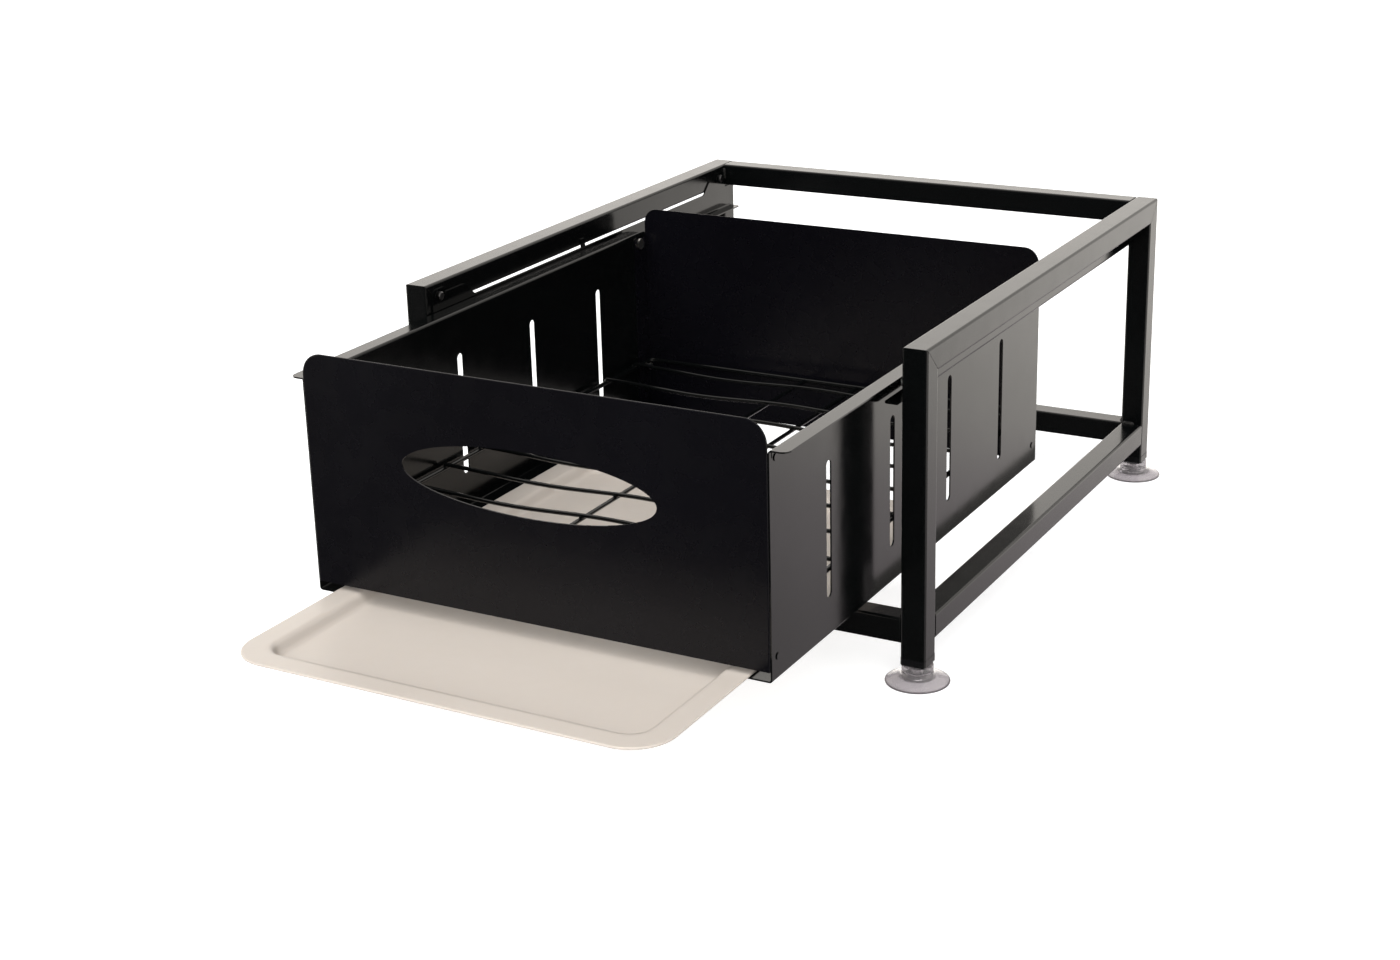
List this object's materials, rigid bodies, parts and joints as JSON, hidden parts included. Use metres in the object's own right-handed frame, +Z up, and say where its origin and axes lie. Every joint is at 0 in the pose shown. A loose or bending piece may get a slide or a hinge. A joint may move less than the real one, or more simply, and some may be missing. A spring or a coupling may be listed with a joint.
{
  "type": "stacking kit with pull-out drawer",
  "caption": "Low square-tube stand on suction feet that carries a machine, with a pull-out drainer drawer on rollers, a lift-out wire rack and a slide-out drip tray.",
  "frame": {"origin": "the floor point under the middle of the whole object's footprint, with the drawer and the tray pulled out as in the picture", "axes": "+Z up, the drawer and the tray pull out towards -Y, +X to the right of someone facing the drawer's front"},
  "size_m": [0.479, 0.8435, 0.26],
  "materials": {
    "stand_paint": "smooth gloss black paint on square steel tube",
    "rail_sheet": "gloss black paint on folded sheet",
    "drawer_sheet": "gloss black paint on folded sheet, close to a mirror",
    "rack_wire": "black coated wire",
    "cap_plastic": "moulded black plastic",
    "suction_rubber": "clear greyish soft vinyl",
    "bright_steel": "nickel plated fasteners",
    "roller_nylon": "natural white nylon",
    "tray_plastic": "smooth beige plastic, softly glossy"
  },
  "bodies": {
    "stand": {"front_left_leg": "stand_paint", "rear_left_leg": "stand_paint", "left_top_tube": "stand_paint", "left_lower_rail": "stand_paint", "left_drawer_rail": "rail_sheet", "front_left_end_cap": "cap_plastic", "front_left_foot": "suction_rubber", "rear_left_end_cap": "cap_plastic", "rear_left_foot": "suction_rubber", "front_right_leg": "stand_paint", "rear_right_leg": "stand_paint", "right_top_tube": "stand_paint", "right_lower_rail": "stand_paint", "right_drawer_rail": "rail_sheet", "front_right_end_cap": "cap_plastic", "front_right_foot": "suction_rubber", "rear_right_end_cap": "cap_plastic", "rear_right_foot": "suction_rubber", "rear_top_bar": "stand_paint", "front_lower_bar": "stand_paint", "rear_lower_bar": "stand_paint", "foot_studs": "bright_steel", "rail_screws": "bright_steel", "front_roller_axles": "bright_steel"},
    "drawer": {"drawer_front_panel": "drawer_sheet", "drawer_back_panel": "drawer_sheet", "drawer_left_side": "drawer_sheet", "drawer_right_side": "drawer_sheet", "drawer_rivets": "drawer_sheet", "rear_roller_axles": "bright_steel", "rack_supports": "bright_steel"},
    "rack": {"wire_rack": "rack_wire"},
    "tray": {"drip_tray": "tray_plastic"},
    "front_left_roller": {"front_left_roller": "roller_nylon"},
    "rear_left_roller": {"rear_left_roller": "roller_nylon"},
    "front_right_roller": {"front_right_roller": "roller_nylon"},
    "rear_right_roller": {"rear_right_roller": "roller_nylon"}
  },
  "joints": [
    {"name": "drawer_slide", "type": "slide", "parent": "stand", "child": "drawer", "axis": [0, -1, 0], "range_m": [-0.178, 0.255]},
    {"name": "tray_slide", "type": "slide", "parent": "drawer", "child": "tray", "axis": [0, -1, 0], "range_m": [-0.131, 0.34]},
    {"name": "rack_lift", "type": "slide", "parent": "drawer", "child": "rack", "axis": [0, 0, 1], "range_m": [0, 0.15]},
    {"name": "front_left_roller_spin", "type": "hinge", "parent": "stand", "child": "front_left_roller", "pos_m": [-0.19785, -0.08075, 0.2272], "axis": [1, 0, 0], "continuous": true},
    {"name": "rear_left_roller_spin", "type": "hinge", "parent": "drawer", "child": "rear_left_roller", "pos_m": [-0.19595, 0.19225, 0.2271], "axis": [1, 0, 0], "continuous": true},
    {"name": "front_right_roller_spin", "type": "hinge", "parent": "stand", "child": "front_right_roller", "pos_m": [0.19785, -0.08075, 0.2272], "axis": [1, 0, 0], "continuous": true},
    {"name": "rear_right_roller_spin", "type": "hinge", "parent": "drawer", "child": "rear_right_roller", "pos_m": [0.19595, 0.19225, 0.2271], "axis": [1, 0, 0], "continuous": true}
  ],
  "couplings": [
    {"joint": "front_left_roller_spin", "follows": "drawer_slide", "rad_per_m": 125},
    {"joint": "rear_left_roller_spin", "follows": "drawer_slide", "rad_per_m": 125},
    {"joint": "front_right_roller_spin", "follows": "drawer_slide", "rad_per_m": 125},
    {"joint": "rear_right_roller_spin", "follows": "drawer_slide", "rad_per_m": 125}
  ]
}
